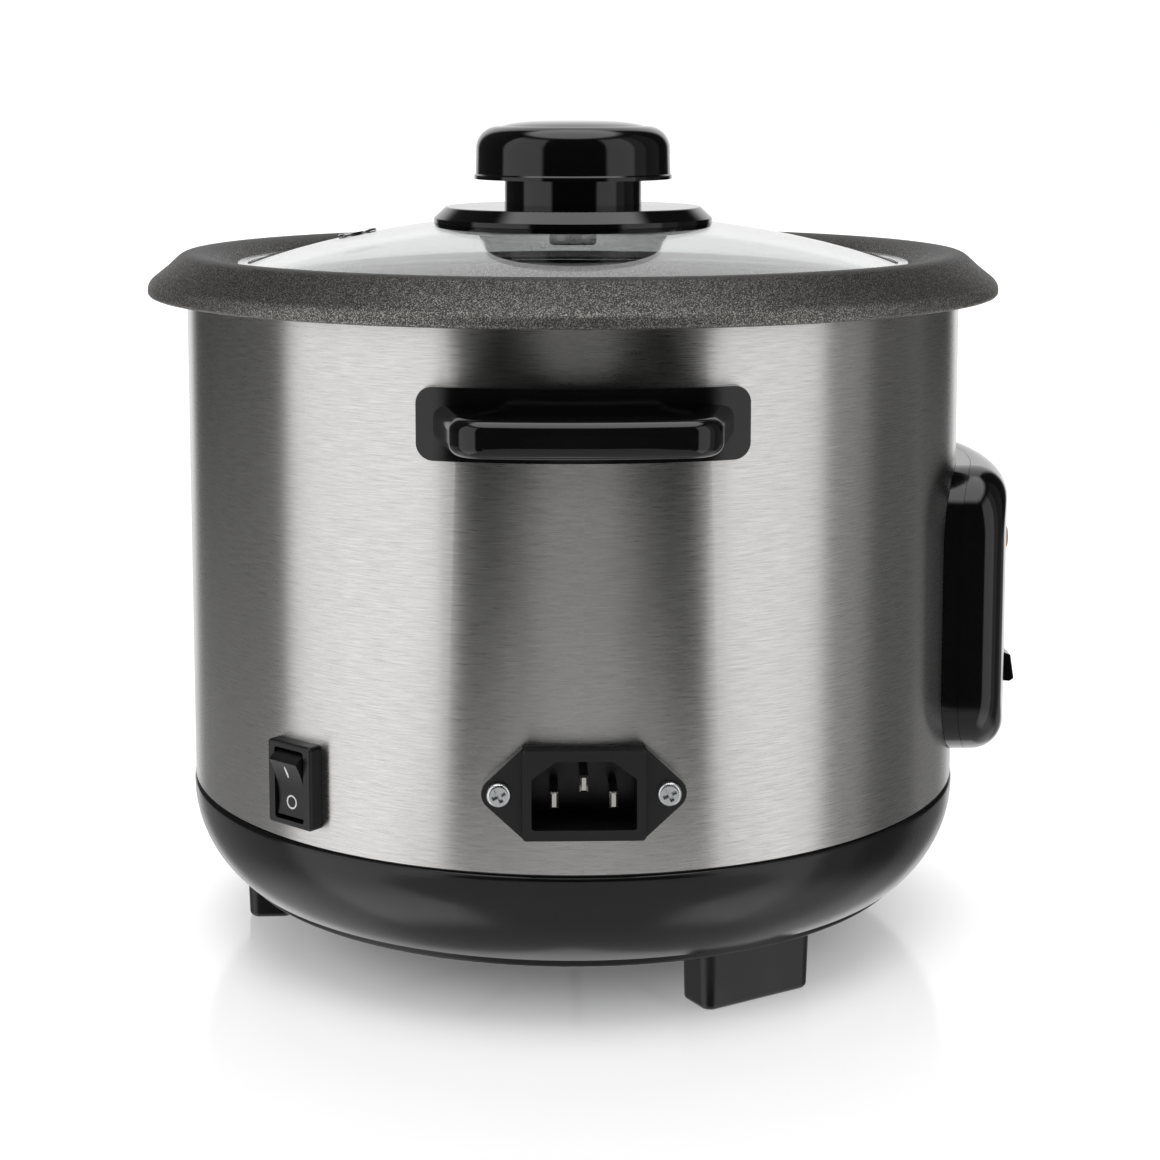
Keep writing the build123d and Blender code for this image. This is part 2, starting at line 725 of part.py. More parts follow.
with BuildPart() as fixed_contact:
    with BuildSketch(Plane.XY.offset(arm_z)):
        with Locations((arm_x + 1.5, block_y - (blade_length - 2.0) / 2 - 0.05)):
            Rectangle(3.0, blade_length - 2.0)
    extrude(amount=0.6)
    with BuildSketch(Plane.XY.offset(arm_z - 0.9)):
        with Locations((arm_x + 1.5, rivet_y)):
            Circle(rivet_r)
    extrude(amount=0.9)
fixed_contact.part.label = "fixed_contact"
export_step(fixed_contact.part, "parts/fixed_contact.step")

with BuildPart() as contact_blade:
    with BuildSketch(Plane.XY.offset(blade_z)):
        with Locations((contact_x, block_y - 0.3 - blade_length / 2)):
            Rectangle(blade_width, blade_length)
    extrude(amount=blade_wall)
    with BuildSketch(Plane.XY.offset(blade_z + blade_wall)):
        with Locations((arm_x + 1.5, rivet_y)):
            Circle(rivet_r)
    extrude(amount=0.5)
contact_blade.part.label = "contact_blade"
export_step(contact_blade.part, "parts/contact_blade.step")

# ---------------------------------------------------------------- thermal fuse and its clip
fuse_r = 2.2
fuse_length = 26.0
fuse_x = -34.0
fuse_z = liner_z - fuse_r - 0.9
with BuildPart() as thermal_fuse:
    with BuildSketch(Plane.XZ.offset(-fuse_length / 2)):
        with Locations((fuse_x, fuse_z)):
            Circle(fuse_r)
    extrude(amount=fuse_length)
    fillet(thermal_fuse.edges().filter_by(GeomType.CIRCLE), 0.8)
thermal_fuse.part.label = "thermal_fuse"
export_step(thermal_fuse.part, "parts/thermal_fuse.step")

with BuildPart() as fuse_clip:
    with BuildSketch(Plane.XZ.offset(-4.0)):
        with Locations((fuse_x, fuse_z)):
            Circle(fuse_r + 0.8)
        with Locations((fuse_x + 4.0, liner_z - 0.45)):
            Rectangle(11.0, 0.8)
        with Locations((fuse_x, fuse_z)):
            Circle(fuse_r + 0.05, mode=Mode.SUBTRACT)
    extrude(amount=8.0)
fuse_clip.part.label = "fuse_clip"
export_step(fuse_clip.part, "parts/fuse_clip.step")

# ---------------------------------------------------------------- front panel
front = Plane(origin=(0, -jacket_r / 2, panel_z), x_dir=(1, 0, 0), z_dir=(0, -1, 0))
split = panel_split_r + panel_seam
panel_angles = (270 - panel_screw_angle, 270 + panel_screw_angle)
lens_angles = (270 - lens_angle, 270 + lens_angle)
lens_z = panel_z + panel_height / 2 - lens_drop

with BuildPart() as panel_frame:
    with BuildSketch(front):
        RectangleRounded(panel_width, panel_height, panel_corner)
        offset_r = panel_corner - panel_frame_width
        RectangleRounded(
            panel_width - 2 * panel_frame_width,
            panel_height - 2 * panel_frame_width,
            offset_r,
            mode=Mode.SUBTRACT,
        )
    extrude(amount=panel_r)
    with Locations((0, 0, panel_z)):
        Cylinder(panel_split_r, 2 * panel_height, mode=Mode.INTERSECT)
        Cylinder(jacket_r + 0.05, 2 * panel_height, mode=Mode.SUBTRACT)
panel_frame.part.label = "panel_frame"
export_step(panel_frame.part, "parts/panel_frame.step")

slot_low = knob_z - lever_knob_height / 2 - lever_travel - 1.6
slot_high = knob_z + lever_knob_height / 2 + 1.2
with BuildPart() as panel_cover:
    with BuildSketch(front):
        RectangleRounded(panel_width, panel_height, panel_corner)
    extrude(amount=panel_r)
    with Locations((0, 0, panel_z)):
        Cylinder(panel_r, 2 * panel_height, mode=Mode.INTERSECT)
        Cylinder(split, 2 * panel_height, mode=Mode.SUBTRACT)
    outer_face = panel_cover.faces().filter_by(GeomType.CYLINDER).sort_by(Axis.Y)[0]
    fillet(outer_face.edges(), panel_edge)
    with BuildPart(mode=Mode.PRIVATE) as hollow:
        with BuildSketch(front):
            hollow_width = panel_width - 2 * panel_wall
            hollow_height = panel_height - 2 * panel_wall
            RectangleRounded(hollow_width, hollow_height, panel_corner - panel_wall)
        extrude(amount=panel_r)
        with Locations((0, 0, panel_z)):
            Cylinder(panel_r - panel_wall, 2 * panel_height, mode=Mode.INTERSECT)
            Cylinder(split - 5.0, 2 * panel_height, mode=Mode.SUBTRACT)
        inner_face = hollow.faces().filter_by(GeomType.CYLINDER).sort_by(Axis.Y)[0]
        fillet(inner_face.edges(), panel_edge - 1.0)
    add(hollow.part, mode=Mode.SUBTRACT)
    for angle in panel_angles:
        with BuildSketch(side_plane(angle, split + 0.4, panel_z)):
            Circle(panel_boss_r)
        extrude(amount=panel_cover_depth - panel_wall)
    for angle in panel_angles:
        with BuildSketch(side_plane(angle, split, panel_z)):
            Circle(panel_screw_r + thread_gap)
        extrude(amount=panel_cover_depth - panel_wall - 1.0, mode=Mode.SUBTRACT)
    with BuildSketch(front):
        with Locations((0, (slot_low + slot_high) / 2 - panel_z)):
            RectangleRounded(lever_knob_width + 2.0, slot_high - slot_low, 1.5)
    extrude(amount=panel_r, mode=Mode.SUBTRACT)
    for angle in lens_angles:
        with BuildSketch(side_plane(angle, split, lens_z)):
            Circle(lens_r + 0.1)
        extrude(amount=panel_cover_depth + 2.0, mode=Mode.SUBTRACT)
panel_cover.part.label = "panel_cover"
export_step(panel_cover.part, "parts/panel_cover.step")

lens_seat = panel_r - panel_wall - 0.1
lamp_r = 2.2
for name, angle in zip(("cook_lens", "warm_lens"), lens_angles):
    with BuildPart() as lens:
        with BuildSketch(side_plane(angle, lens_seat - 1.0, lens_z)):
            Circle(lens_r + 1.0)
        extrude(amount=0.9)
        with BuildSketch(side_plane(angle, lens_seat - 1.0, lens_z)):
            Circle(lens_r)
        extrude(amount=panel_wall + 1.9)
        tip = lens.faces().sort_by(Axis.Y)[0]
        fillet(tip.edges(), 0.7)
    lens.part.label = name
    export_step(lens.part, f"parts/{name}.step")

with BuildPart() as indicator_lamps:
    for angle in lens_angles:
        with BuildSketch(side_plane(angle, split + 0.2, lens_z)):
            Circle(lamp_r)
        extrude(amount=lens_seat - 1.2 - split - 0.2)
indicator_lamps.part.label = "indicator_lamps"
export_step(indicator_lamps.part, "parts/indicator_lamps.step")

with BuildPart() as panel_screws:
    for angle in panel_angles:
        with BuildSketch(side_plane(angle, jacket_in_r - 1.9, panel_z)):
            Circle(2.8)
        extrude(amount=1.8)
        with BuildSketch(side_plane(angle, jacket_in_r - 0.2, panel_z)):
            Circle(panel_screw_r)
        extrude(amount=panel_split_r + panel_cover_depth - panel_wall - 1.4 - jacket_in_r)
panel_screws.part.label = "panel_screws"
export_step(panel_screws.part, "parts/panel_screws.step")

# ---------------------------------------------------------------- mains inlet
ear_face = side_plane(180, jacket_r + inlet_ear_proud, inlet_z)
inlet_back = side_plane(180, jacket_r - inlet_depth, inlet_z)
inlet_skin = side_plane(180, jacket_in_r - 4.0, inlet_z)
recess_floor = side_plane(180, jacket_r + inlet_block_proud - recess_depth, inlet_z)
pin_low = -earth_rise / 2
pin_spots = [(-pin_pitch / 2, pin_low), (pin_pitch / 2, pin_low), (0, earth_rise / 2)]
with BuildPart() as inlet_body:
    with BuildSketch(inlet_skin):
        with Locations((-inlet_screw_pitch / 2, 0), (inlet_screw_pitch / 2, 0)):
            Circle(inlet_ear_r)
        Rectangle(inlet_block_width, inlet_block_height)
        make_hull()
        with GridLocations(inlet_screw_pitch, 0, 2, 1):
            Circle(screw_r - 0.2, mode=Mode.SUBTRACT)
    extrude(amount=inlet_ear_proud + jacket_wall + 4.0)
    with BuildSketch(inlet_skin):
        RectangleRounded(inlet_block_width, inlet_block_height, 1.0)
    extrude(amount=inlet_block_proud + jacket_wall + 4.0)
    with Locations((0, 0, inlet_z)):
        Cylinder(jacket_r + 0.05, 60, mode=Mode.SUBTRACT)
    with BuildSketch(inlet_back):
        Rectangle(inlet_body_width, inlet_body_height)
    extrude(amount=inlet_depth + inlet_block_proud - 0.5)
    with BuildSketch(recess_floor):
        with BuildLine():
            half_w = recess_width / 2
            half_h = recess_height / 2
            Polyline(
                (-half_w, -half_h),
                (half_w, -half_h),
                (half_w, half_h - recess_chamfer_y),
                (half_w - recess_chamfer_x, half_h),
                (-half_w + recess_chamfer_x, half_h),
                (-half_w, half_h - recess_chamfer_y),
                close=True,
            )
        recess = make_face()
        fillet(recess.vertices(), 0.8)
    extrude(amount=recess_depth + 1.0, mode=Mode.SUBTRACT)
    with BuildSketch(inlet_back):
        with Locations(*pin_spots):
            Rectangle(pin_width, pin_height)
    extrude(amount=inlet_depth, mode=Mode.SUBTRACT)
inlet_body.part.label = "inlet_body"
export_step(inlet_body.part, "parts/inlet_body.step")

pin_length = inlet_depth + inlet_block_proud - pin_setback
with BuildPart() as inlet_pins:
    with BuildSketch(inlet_back):
        with Locations(*pin_spots):
            Rectangle(pin_width, pin_height)
    extrude(amount=pin_length)
    pin_tips = inlet_pins.faces().sort_by(Axis.X)[:3]
    chamfer(pin_tips.edges(), length=pin_chamfer)
    with BuildSketch(inlet_back.offset(-tab_length)):
        with Locations(*pin_spots):
            Rectangle(tab_wall, tab_width)
    extrude(amount=tab_length)
inlet_pins.part.label = "inlet_pins"
export_step(inlet_pins.part, "parts/inlet_pins.step")

inlet_screw_r = screw_r - 0.25
cross_length = 3.4
cross_width = 1.0
with BuildPart() as inlet_screws:
    with BuildSketch(ear_face):
        with GridLocations(inlet_screw_pitch, 0, 2, 1):
            Circle(2.9)
    extrude(amount=1.7)
    fillet(inlet_screws.faces().sort_by(Axis.X)[0].edges(), 0.9)
    fillet(inlet_screws.faces().sort_by(Axis.X)[1].edges(), 0.9)
    with BuildSketch(ear_face):
        with GridLocations(inlet_screw_pitch, 0, 2, 1):
            Circle(inlet_screw_r)
    extrude(amount=-9.0)
    with BuildSketch(ear_face.offset(0.4)):
        with GridLocations(inlet_screw_pitch, 0, 2, 1):
            Rectangle(cross_length, cross_width, rotation=25)
            Rectangle(cross_width, cross_length, rotation=25)
    extrude(amount=2.0, mode=Mode.SUBTRACT)
inlet_screws.part.label = "inlet_screws"
export_step(inlet_screws.part, "parts/inlet_screws.step")

# ---------------------------------------------------------------- power switch
switch_face = side_plane(switch_angle, jacket_r + bezel_proud, switch_z)
switch_back = side_plane(switch_angle, jacket_r - switch_depth, switch_z)
cavity_width = rocker_width + 2 * rocker_gap
end_r = sqrt(rocker_reach**2 + rocker_pivot_depth**2)
cavity_height = 2 * (end_r + rocker_gap)
face_drop = 0.6  # the pressed end of the rocker sits this far under the bezel's face
pivot_depth = face_drop + rocker_pivot_depth
cavity_depth = pivot_depth + 4.2
socket_r = 1.0
with BuildPart() as switch_body:
    with BuildSketch(side_plane(switch_angle, jacket_r - 4.0, switch_z)):
        RectangleRounded(bezel_width, bezel_height, bezel_edge)
    extrude(amount=bezel_proud + 4.0)
    bezel_top = switch_body.faces().filter_by(switch_face)[-1]
    fillet(bezel_top.edges(), 0.7)
    with Locations((0, 0, switch_z)):
        Cylinder(jacket_r + 0.05, 60, mode=Mode.SUBTRACT)
    with BuildSketch(switch_back):
        Rectangle(switch_body_width, switch_body_height)
    extrude(amount=switch_depth + bezel_proud - 1.0)
    with BuildSketch(switch_face.offset(-cavity_depth)):
        RectangleRounded(cavity_width, cavity_height, 0.8)
    extrude(amount=cavity_depth + 1.0, mode=Mode.SUBTRACT)
    socket_origin = switch_face.offset(-pivot_depth).origin
    with BuildSketch(Plane(origin=socket_origin, z_dir=switch_face.x_dir)):
        Circle(socket_r + running_gap)
    extrude(amount=cavity_width / 2 + 0.8, both=True, mode=Mode.SUBTRACT)
switch_body.part.label = "switch_body"
export_step(switch_body.part, "parts/switch_body.step")


# The rocker's ends are arcs about its pivot, so it stays clear of the opening as it tilts.
tangent = switch_face.x_dir
pivot = switch_face.offset(-pivot_depth).origin
rocker_plane = Plane(origin=pivot - tangent * (rocker_width / 2), x_dir=(0, 0, 1), z_dir=tangent)
pressed_angle = degrees(atan2(rocker_pivot_depth, rocker_reach))
raised_angle = pressed_angle + 2 * rocker_rest


def rocker_end(elevation, side):
    """A point on the end arc: side is 1 for the raised end, -1 for the pressed end."""
    return (side * end_r * cos(radians(elevation)), end_r * sin(radians(elevation)))


low_skirt = pressed_angle - 27.0
high_skirt = raised_angle - 27.0
with BuildPart() as switch_rocker:
    with BuildSketch(rocker_plane):
        with BuildLine():
            middle = (-rocker_pivot_depth * sin(radians(rocker_rest)), rocker_pivot_depth)
            ThreePointArc(rocker_end(pressed_angle, -1), middle, rocker_end(raised_angle, 1))
            ThreePointArc(
                rocker_end(raised_angle, 1),
                rocker_end((raised_angle + high_skirt) / 2, 1),
                rocker_end(high_skirt, 1),
            )
            Polyline(rocker_end(high_skirt, 1), (0, -3.0), rocker_end(low_skirt, -1))
            ThreePointArc(
                rocker_end(low_skirt, -1),
                rocker_end((low_skirt + pressed_angle) / 2, -1),
                rocker_end(pressed_angle, -1),
            )
        make_face()
    extrude(amount=rocker_width)
    with BuildSketch(Plane(origin=pivot, z_dir=tangent)):
        Circle(socket_r)
    extrude(amount=cavity_width / 2 + 0.5, both=True)
switch_rocker.part.label = "switch_rocker"
export_step(switch_rocker.part, "parts/switch_rocker.step")

with BuildPart() as switch_terminals:
    with BuildSketch(side_plane(switch_angle, jacket_r - switch_depth - tab_length, switch_z)):
        with GridLocations(0, 10.0, 1, 2):
            Rectangle(tab_width, tab_wall)
    extrude(amount=tab_length)
switch_terminals.part.label = "switch_terminals"
export_step(switch_terminals.part, "parts/switch_terminals.step")

# ---------------------------------------------------------------- two side handles
grip_r = jacket_r + handle_reach
grip_root_r = jacket_r - 6.0
grip_bow = 2.5
for name, side in (("left", 180), ("right", 0)):
    a = radians(side)
    grip_plane = Plane(
        origin=(0, 0, handle_z - handle_bar / 2), x_dir=(cos(a), sin(a), 0), z_dir=(0, 0, 1)
    )
    with BuildPart(mode=Mode.PRIVATE) as grip:
        with BuildSketch(grip_plane):
            with BuildLine():
                Polyline(
                    (grip_r - grip_bow, handle_front / 2),
                    (grip_root_r, handle_root / 2),
                    (grip_root_r, -handle_root / 2),
                    (grip_r - grip_bow, -handle_front / 2),
                )
                ThreePointArc(
                    (grip_r - grip_bow, -handle_front / 2),
                    (grip_r, 0),
                    (grip_r - grip_bow, handle_front / 2),
                )
            outline = make_face()
            fillet(outline.vertices().group_by(SortBy.DISTANCE)[-1], handle_outer_corner)
        extrude(amount=handle_bar)
        with BuildSketch(grip_plane):
            with BuildLine():
                gap_front = grip_r - grip_bow - handle_bar_depth
                gap_side = handle_front / 2 - handle_bar_depth + 2.0
                Polyline(
                    (gap_front, gap_side),
                    (grip_root_r, handle_root / 2 - handle_bar_depth),
                    (grip_root_r, -handle_root / 2 + handle_bar_depth),
                    (gap_front, -gap_side),
                    close=True,
                )
            gap = make_face()
            fillet(gap.vertices().group_by(SortBy.DISTANCE)[-1], handle_inner_corner)
        extrude(amount=handle_bar, mode=Mode.SUBTRACT)
        rims = grip.faces().filter_by(Axis.Z).edges()
        fillet(rims, handle_edge)
    with BuildPart() as handle:
        with BuildSketch(side_plane(side, grip_root_r, handle_z)):
            RectangleRounded(handle_width, handle_height, handle_corner)
        extrude(amount=handle_reach)
        with Locations((0, 0, handle_z)):
            Cylinder(jacket_r + handle_plate, 60, mode=Mode.INTERSECT)
        add(grip.part)
        with Locations((0, 0, handle_z)):
            Cylinder(jacket_r + 0.05, 60, mode=Mode.SUBTRACT)
        for turn in (-1, 1):
            with BuildSketch(side_plane(side + turn * handle_hole_angle, jacket_r - 1, handle_z)):
                Circle(screw_r + thread_gap)
            extrude(amount=11.0, mode=Mode.SUBTRACT)
    handle.part.label = f"handle_{name}"
    export_step(handle.part, f"parts/handle_{name}.step")

    with BuildPart() as handle_screws:
        for turn in (-1, 1):
            angle = side + turn * handle_hole_angle
            with BuildSketch(side_plane(angle, jacket_in_r - 2.2, handle_z)):
                Circle(screw_head_r)
            extrude(amount=2.1)
            with BuildSketch(side_plane(angle, jacket_in_r - 0.2, handle_z)):
                Circle(screw_r)
            extrude(amount=9.0)
    handle_screws.part.label = f"handle_screws_{name}"
    export_step(handle_screws.part, f"parts/handle_screws_{name}.step")

# ---------------------------------------------------------------- inner pot
crest_r = pot_in_r + 15.5
fall = rim_drop + rim_lip_drop  # crest of the rim to its rolled edge
overhang = rim_r - crest_r
pot_floor = pot_z + pot_wall
lip_in = (rim_r - 2.2, crest_z - 0.93 * fall)
lip_out = (rim_r - 0.2, crest_z - 0.90 * fall)
with BuildPart() as inner_pot:
    with BuildSketch(Plane.XZ):
        with BuildLine():
            Line((0, pot_z), (pot_r - pot_corner, pot_z))
            corner_end = (pot_r, pot_z + pot_corner)
            TangentArc((pot_r - pot_corner, pot_z), corner_end, tangent=(1, 0))
            Line((pot_r, pot_z + pot_corner), (pot_r, seat_z - pot_wall))
            Line((pot_r, seat_z - pot_wall), (seat_r + 1.2, seat_z - pot_wall))
            Spline(
                (seat_r + 1.2, seat_z - pot_wall),
                (seat_r + 5.4, crest_z - 4.9),
                (crest_r, crest_z - pot_wall),
                tangents=((0.3, 1), (1, 0)),
            )
            Spline(
                (crest_r, crest_z - pot_wall),
                (crest_r + 0.30 * overhang, crest_z - 0.31 * fall),
                (crest_r + 0.62 * overhang, crest_z - 0.63 * fall),
                lip_in,
                tangents=((1, 0), (0.3, -1)),
            )
            TangentArc(lip_in, lip_out, tangent=(0.3, -1))
            Spline(
                lip_out,
                (crest_r + 0.74 * overhang, crest_z - 0.51 * fall),
                (crest_r + 0.37 * overhang, crest_z - 0.19 * fall),
                (crest_r, crest_z),
                tangents=((0.1, 1), (-1, 0)),
            )
            Spline(
                (crest_r, crest_z),
                (seat_r + 4.2, crest_z - 3.4),
                (seat_r, seat_z),
                tangents=((-1, 0), (-0.3, -1)),
            )
            Line((seat_r, seat_z), (pot_in_r, seat_z))
            Line((pot_in_r, seat_z), (pot_in_r, pot_z + pot_corner))
            floor_end = (pot_r - pot_corner, pot_floor)
            TangentArc((pot_in_r, pot_z + pot_corner), floor_end, tangent=(0, -1))
            Polyline((pot_r - pot_corner, pot_floor), (0, pot_floor), (0, pot_z))
        make_face()
    revolve(axis=Axis.Z)
inner_pot.part.label = "inner_pot"
export_step(inner_pot.part, "parts/inner_pot.step")

# ---------------------------------------------------------------- lid
glass_hole = knob_screw_r + 1.2
vent_tilt = asin(vent_ring / glass_curve)
va = radians(vent_angle)
vent_axis = (sin(vent_tilt) * cos(va), sin(vent_tilt) * sin(va), cos(vent_tilt))
vent_plane = Plane(
    origin=(vent_ring * cos(va), vent_ring * sin(va), glass_z(vent_ring)), z_dir=vent_axis
)
with BuildPart() as lid_glass:
    with BuildSketch(Plane.XZ):
        with BuildLine():
            middle = glass_r / 2
            edge = (glass_r, glass_z(glass_r))
            under = (glass_r, glass_z(glass_r, glass_thickness))
            hole_top = (glass_hole, glass_z(glass_hole))
            hole_low = (glass_hole, glass_z(glass_hole, glass_thickness))
            ThreePointArc(hole_top, (middle, glass_z(middle)), edge)
            Line(edge, under)
            ThreePointArc(under, (middle, glass_z(middle, glass_thickness)), hole_low)
            Line(hole_low, hole_top)
        make_face()
    revolve(axis=Axis.Z)
    with BuildSketch(vent_plane.offset(-glass_thickness - 2)):
        Circle(vent_r + 0.1)
    extrude(amount=glass_thickness + 4, mode=Mode.SUBTRACT)
lid_glass.part.label = "lid_glass"
export_step(lid_glass.part, "parts/lid_glass.step")

band_in_r = band_r - 2.6
band_top = glass_z(band_in_r) + 0.1 + band_wall
with BuildPart() as lid_band:
    with BuildSketch(Plane.XZ):
        with BuildLine():
            Polyline(
                (band_in_r, band_z),
                (band_r, band_z),
                (band_r, band_top),
                (band_in_r, band_top),
                (band_in_r, band_top - band_wall),
                (band_r - band_wall, band_top - band_wall),
                (band_r - band_wall, band_z + band_wall),
                (band_in_r, band_z + band_wall),
                close=True,
            )
        make_face()
    revolve(axis=Axis.Z)
lid_band.part.label = "lid_band"
export_step(lid_band.part, "parts/lid_band.step")

with BuildPart() as vent_eyelet:
    with BuildSketch(vent_plane.offset(0.06)):
        Circle(vent_flange_r)
    extrude(amount=vent_flange)
    fillet(vent_eyelet.edges().filter_by(GeomType.CIRCLE).sort_by(Axis.Z)[-1], 0.4)
    with BuildSketch(vent_plane.offset(-glass_thickness - 0.1 - vent_flange)):
        Circle(vent_r)
    extrude(amount=glass_thickness + 0.3 + vent_flange)
    with BuildSketch(vent_plane.offset(-glass_thickness - 0.1 - vent_flange)):
        Circle(vent_flange_r - 0.6)
    extrude(amount=vent_flange)
    with BuildSketch(vent_plane.offset(-glass_thickness - 3)):
        Circle(vent_bore)
    extrude(amount=glass_thickness + 6, mode=Mode.SUBTRACT)
vent_eyelet.part.label = "vent_eyelet"
export_step(vent_eyelet.part, "parts/vent_eyelet.step")

flange_top = glass_top + knob_flange_rise
flange_low_z = glass_z(knob_flange_r) + 0.05
with BuildPart() as knob_flange:
    with BuildSketch(Plane.XZ):
        with BuildLine():
            middle = knob_flange_r / 2
            bore = knob_screw_r + 0.2
            ThreePointArc(
                (knob_flange_r, flange_low_z),
                (middle, glass_z(middle) + 0.05),
                (bore, glass_z(bore) + 0.05),
            )
            Polyline(
                (bore, glass_z(bore) + 0.05),
                (bore, flange_top),
                (knob_flange_r - knob_flange_edge, flange_top),
                (knob_flange_r, flange_low_z + 1.3),
                (knob_flange_r, flange_low_z),
            )
        make_face()
    revolve(axis=Axis.Z)
    top_edges = knob_flange.edges().filter_by(GeomType.CIRCLE).group_by(Axis.Z)[-1]
    fillet(top_edges.sort_by(SortBy.RADIUS)[-1], 0.8)
knob_flange.part.label = "knob_flange"
export_step(knob_flange.part, "parts/knob_flange.step")

stem_top = flange_top + knob_stem_height
knob_top = stem_top + knob_height
knob_bore = 12.0
with BuildPart() as lid_knob:
    with BuildSketch(Plane.XZ):
        with BuildLine():
            Polyline(
                (0, flange_top),
                (knob_stem_r, flange_top),
                (knob_stem_r, stem_top),
                (knob_r, stem_top),
                (knob_r, stem_top + 1.0),
                (knob_r - 0.4, stem_top + 1.4),
                (knob_r - 0.6, stem_top + knob_side),
            )
            side_top = (knob_r - 0.6, stem_top + knob_side)
            shoulder = (knob_r - 7.4, knob_top - 1.5)
            TangentArc(side_top, shoulder, tangent=(-0.02, 1))
            Spline(shoulder, (0, knob_top), tangents=((-1, 0.30), (-1, 0)))
            Line((0, knob_top), (0, flange_top))
        make_face()
    revolve(axis=Axis.Z)
    with BuildSketch(Plane.XY.offset(flange_top)):
        Circle(knob_screw_r + thread_gap)
    extrude(amount=knob_bore, mode=Mode.SUBTRACT)
lid_knob.part.label = "lid_knob"
export_step(lid_knob.part, "parts/lid_knob.step")

seat_low = glass_z(0, glass_thickness) - knob_seat_drop
with BuildPart() as knob_seat:
    with BuildSketch(Plane.XZ):
        with BuildLine():
            bore = knob_screw_r + 0.2
            rim_top = (knob_seat_r, glass_z(knob_seat_r, glass_thickness) - 0.05)
            middle = knob_seat_r / 2
            bore_top = (bore, glass_z(bore, glass_thickness) - 0.05)
            ThreePointArc(rim_top, (middle, glass_z(middle, glass_thickness) - 0.05), bore_top)
            Polyline(
                bore_top,
                (bore, seat_low),
                (knob_seat_r - 5.5, seat_low),
                (knob_seat_r, rim_top[1] - 0.4),
                rim_top,
            )
        make_face()
    revolve(axis=Axis.Z)
knob_seat.part.label = "knob_seat"
export_step(knob_seat.part, "parts/knob_seat.step")

with BuildPart() as knob_screw:
    with BuildSketch(Plane.XY.offset(seat_low - 0.05 - knob_screw_head)):
        Circle(knob_screw_head_r)
    extrude(amount=knob_screw_head)
    fillet(knob_screw.faces().sort_by(Axis.Z)[0].edges(), 1.2)
    with BuildSketch(Plane.XY.offset(seat_low - 0.2)):
        Circle(knob_screw_r)
    extrude(amount=flange_top - seat_low + knob_bore - 0.8)
    with BuildSketch(Plane.XY.offset(seat_low - 0.05 - knob_screw_head)):
        Rectangle(6.5, 1.2)
        Rectangle(1.2, 6.5)
    extrude(amount=1.5, mode=Mode.SUBTRACT)
knob_screw.part.label = "knob_screw"
export_step(knob_screw.part, "parts/knob_screw.step")

print("lever angle, degrees:", degrees(lever_angle))
print("rod travel:", rod_travel)
print("top:", knob_top)
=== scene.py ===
import math

import bpy
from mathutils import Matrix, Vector
from mathutils.bvhtree import BVHTree


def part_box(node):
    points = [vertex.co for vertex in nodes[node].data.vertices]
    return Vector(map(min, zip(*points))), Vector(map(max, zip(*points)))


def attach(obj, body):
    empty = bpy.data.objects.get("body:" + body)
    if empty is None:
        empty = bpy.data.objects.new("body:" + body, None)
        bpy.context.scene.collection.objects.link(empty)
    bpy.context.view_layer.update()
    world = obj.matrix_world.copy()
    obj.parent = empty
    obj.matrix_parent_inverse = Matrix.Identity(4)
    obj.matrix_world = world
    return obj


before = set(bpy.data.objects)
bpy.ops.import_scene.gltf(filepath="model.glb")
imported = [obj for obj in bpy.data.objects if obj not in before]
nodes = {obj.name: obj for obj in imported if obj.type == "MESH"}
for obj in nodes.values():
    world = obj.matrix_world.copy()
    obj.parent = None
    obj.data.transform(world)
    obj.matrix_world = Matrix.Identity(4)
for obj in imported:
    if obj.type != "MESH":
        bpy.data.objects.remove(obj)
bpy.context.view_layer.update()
scene = bpy.context.scene

MM = 0.001
VIEW_TURN = 1.4  # degrees from the -X axis towards +Y


